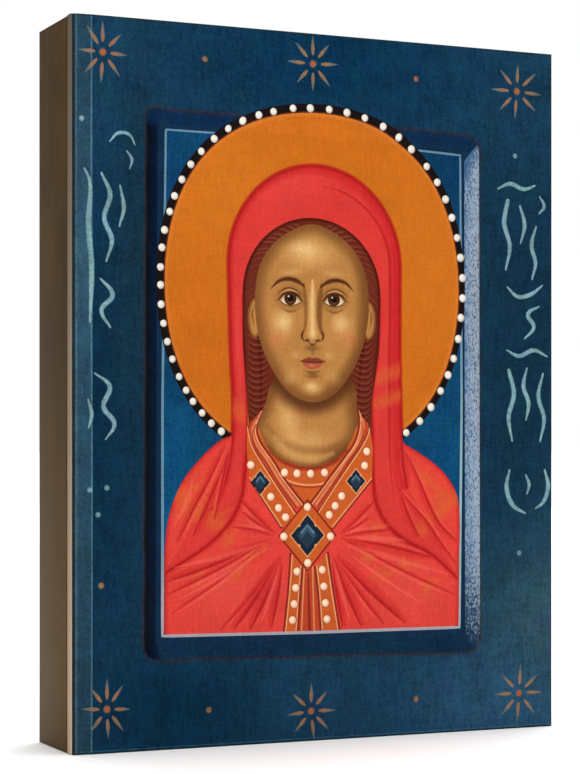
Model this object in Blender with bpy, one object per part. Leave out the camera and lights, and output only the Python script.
"""Icon panel: a painted facing board, hollowed in front by a shallow sunk field, glued to a stained board.

The panel stands on its bottom edge and faces -Y. Its origin is the middle of its underside.
Lengths are in metres, +X is to the viewer's right and +Z is up.
"""

import math

import bmesh
import bpy
from mathutils import Vector

# Outside of the panel
PANEL_WIDTH = 0.152
PANEL_HEIGHT = 0.203
BOARD_THICKNESS = 0.0252
FACING_THICKNESS = 0.0045
GLUE_LINE = 0.0003

# Sunk field: the flat margins round it were cut by hand, so each has its own width at either end
MARGIN_LEFT_TOP = 0.0213
MARGIN_LEFT_BOTTOM = 0.0207
MARGIN_RIGHT_TOP = 0.0252
MARGIN_RIGHT_BOTTOM = 0.0248
MARGIN_TOP_LEFT = 0.0245
MARGIN_TOP_RIGHT = 0.0261
MARGIN_BOTTOM_LEFT = 0.0250
MARGIN_BOTTOM_RIGHT = 0.0234
FIELD_DEPTH = 0.0016
SLOPE_WIDTH = 0.0042
RIM_CORNER_RADIUS = 0.0042
FLOOR_CORNER_RADIUS = 0.0010
CORNER_STEPS = 8

# Edges of the facing: a wide shallow facet is planed along the left of its front
LEFT_ARRIS_RADIUS = 0.0014
FACET_WIDTH = 0.0048
FACET_DROP = 0.0005
FRONT_ARRIS_RADIUS = 0.0005
ARRIS_STEPS = 5

# Edges round the board's back, eased with sandpaper
BOARD_EASING = 0.0005
EASING_STEPS = 2

# How the model is made: the cutter's reach past the face that it cuts, the profile of a round edge, the
# angle up to which faces are shaded as one, and what counts as no distance
CUTTER_REACH = 0.0010
ROUND_PROFILE = 0.5
SMOOTH_ANGLE = math.radians(30)
SMALLEST_STEP = 1e-7

PANEL_THICKNESS = BOARD_THICKNESS + GLUE_LINE + FACING_THICKNESS
FRONT_Y = -PANEL_THICKNESS / 2
FACING_BACK_Y = FRONT_Y + FACING_THICKNESS
BOARD_FRONT_Y = FACING_BACK_Y + GLUE_LINE
BACK_Y = PANEL_THICKNESS / 2


def make_material(name, colour, roughness):
    """A plain paint or stain."""
    material = bpy.data.materials.new(name)
    material.use_nodes = True
    shader = material.node_tree.nodes["Principled BSDF"]
    shader.inputs["Base Color"].default_value = (*colour, 1.0)
    shader.inputs["Roughness"].default_value = roughness
    shader.inputs["Metallic"].default_value = 0.0
    return material


def add_object(name, mesh_builder, material):
    """Puts a finished bmesh into the scene as a named object."""
    mesh = bpy.data.meshes.new(name)
    mesh_builder.to_mesh(mesh)
    mesh_builder.free()
    mesh.materials.append(material)
    mesh.shade_smooth()
    mesh.set_sharp_from_angle(angle=SMOOTH_ANGLE)
    made = bpy.data.objects.new(name, mesh)
    bpy.context.scene.collection.objects.link(made)
    return made


def arc(centre, radius, start, end, steps):
    """Points on an arc in a plane, from one angle to another, ends included."""
    points = []
    for step in range(steps + 1):
        angle = start + (end - start) * step / steps
        points.append((centre[0] + radius * math.cos(angle), centre[1] + radius * math.sin(angle)))
    return points


def extruded_outline(outline, bottom, top):
    """A solid with an (x, y) outline, standing from one height to another."""
    builder = bmesh.new()
    base = builder.faces.new([builder.verts.new((x, y, bottom)) for x, y in outline])
    raised = bmesh.ops.extrude_face_region(builder, geom=[base])
    lifted = [item for item in raised["geom"] if isinstance(item, bmesh.types.BMVert)]
    bmesh.ops.translate(builder, vec=(0, 0, top - bottom), verts=lifted)
    bmesh.ops.recalc_face_normals(builder, faces=builder.faces)
    return builder


def facing_section():
    """The facing seen from above: flat behind, with a round arris and a planed facet at its left."""
    left, right = -PANEL_WIDTH / 2, PANEL_WIDTH / 2
    facet_y = FRONT_Y + FACET_DROP
    section = [(right, FACING_BACK_Y), (left, FACING_BACK_Y)]
    left_centre = (left + LEFT_ARRIS_RADIUS, facet_y + LEFT_ARRIS_RADIUS)
    section += arc(left_centre, LEFT_ARRIS_RADIUS, -math.pi, -math.pi / 2, ARRIS_STEPS)
    section.append((left + LEFT_ARRIS_RADIUS + FACET_WIDTH, FRONT_Y))
    right_centre = (right - FRONT_ARRIS_RADIUS, FRONT_Y + FRONT_ARRIS_RADIUS)
    section += arc(right_centre, FRONT_ARRIS_RADIUS, -math.pi / 2, 0, ARRIS_STEPS)
    return section


def rim_corners():
    """The corners where the field's slopes meet the front, from the top left round to the bottom left."""
    left, right = -PANEL_WIDTH / 2, PANEL_WIDTH / 2
    return [
        Vector((left + MARGIN_LEFT_TOP, PANEL_HEIGHT - MARGIN_TOP_LEFT)),
        Vector((right - MARGIN_RIGHT_TOP, PANEL_HEIGHT - MARGIN_TOP_RIGHT)),
        Vector((right - MARGIN_RIGHT_BOTTOM, MARGIN_BOTTOM_RIGHT)),
        Vector((left + MARGIN_LEFT_BOTTOM, MARGIN_BOTTOM_LEFT)),
    ]


def field_outline(inset, radius):
    """The field's outline, drawn in from its rim by an inset, with every corner rounded."""
    corners = rim_corners()
    count = len(corners)
    outline = []
    for index, corner in enumerate(corners):
        back = (corners[index - 1] - corner).normalized()
        ahead = (corners[(index + 1) % count] - corner).normalized()
        half_angle = back.angle(ahead) / 2
        inward = (back + ahead).normalized()
        centre = corner + inward * (inset + radius) / math.sin(half_angle)
        start = -inward
        swing = math.pi - 2 * half_angle
        for step in range(CORNER_STEPS + 1):
            turn = swing / 2 - swing * step / CORNER_STEPS
            spoke = Vector(
                (
                    start.x * math.cos(turn) - start.y * math.sin(turn),
                    start.x * math.sin(turn) + start.y * math.cos(turn),
                )
            )
            outline.append(centre + spoke * radius)
    return outline


def field_cutter():
    """What is carved away: a shallow tray whose four sides slope from the rim down to the floor."""
    rise = CUTTER_REACH / FIELD_DEPTH
    widened = SLOPE_WIDTH * rise
    builder = bmesh.new()
    rings = []
    for inset, radius, y in (
        (SLOPE_WIDTH, FLOOR_CORNER_RADIUS, FRONT_Y + FIELD_DEPTH),
        (0.0, RIM_CORNER_RADIUS, FRONT_Y),
        (-widened, RIM_CORNER_RADIUS + widened, FRONT_Y - CUTTER_REACH),
    ):
        rings.append([builder.verts.new((point.x, y, point.y)) for point in field_outline(inset, radius)])
    count = len(rings[0])
    for lower, upper in zip(rings, rings[1:]):
        for index in range(count):
            after = (index + 1) % count
            builder.faces.new((lower[index], lower[after], upper[after], upper[index]))
    builder.faces.new(rings[0])
    builder.faces.new(reversed(rings[-1]))
    bmesh.ops.recalc_face_normals(builder, faces=builder.faces)
    return builder


def front_end_edges(builder):
    """The edges where the facing's front meets its top and bottom ends."""
    reach = max(FACET_DROP, FRONT_ARRIS_RADIUS) + SMALLEST_STEP
    found = []
    for edge in builder.edges:
        ends = [vertex.co for vertex in edge.verts]
        level = abs(ends[0].z - ends[1].z) < SMALLEST_STEP
        in_front = all(end.y < FRONT_Y + reach for end in ends)
        if level and in_front:
            found.append(edge)
    return found


def add_facing(material):
    """The pale facing board, with its planed facet and its sunk field."""
    builder = extruded_outline(facing_section(), 0.0, PANEL_HEIGHT)
    bmesh.ops.bevel(
        builder,
        geom=front_end_edges(builder),
        offset=FRONT_ARRIS_RADIUS,
        offset_type="OFFSET",
        segments=ARRIS_STEPS,
        profile=ROUND_PROFILE,
        affect="EDGES",
        clamp_overlap=True,
    )
    facing = add_object("face_panel", builder, material)
    cutter = add_object("field_cutter", field_cutter(), material)
    cutter.hide_render = True
    cutter.display_type = "WIRE"
    carve = facing.modifiers.new("sunk field", "BOOLEAN")
    carve.operation = "DIFFERENCE"
    carve.solver = "EXACT"
    carve.object = cutter
    return facing


def add_board(material):
    """The stained board behind. The edges round its back are eased."""
    half = PANEL_WIDTH / 2
    outline = [(-half, BOARD_FRONT_Y), (half, BOARD_FRONT_Y), (half, BACK_Y), (-half, BACK_Y)]
    builder = extruded_outline(outline, 0.0, PANEL_HEIGHT)
    eased = []
    for edge in builder.edges:
        if all(abs(vertex.co.y - BACK_Y) < SMALLEST_STEP for vertex in edge.verts):
            eased.append(edge)
    bmesh.ops.bevel(
        builder,
        geom=eased,
        offset=BOARD_EASING,
        offset_type="OFFSET",
        segments=EASING_STEPS,
        profile=ROUND_PROFILE,
        affect="EDGES",
        clamp_overlap=True,
    )
    return add_object("backing_board", builder, material)


def main():
    for old in list(bpy.data.objects):
        bpy.data.objects.remove(old, do_unlink=True)
    painted_ground = make_material("painted_ground", (0.012, 0.040, 0.085), 0.45)
    brown_stain = make_material("brown_stain", (0.085, 0.055, 0.030), 0.60)
    add_facing(painted_ground)
    add_board(brown_stain)


main()
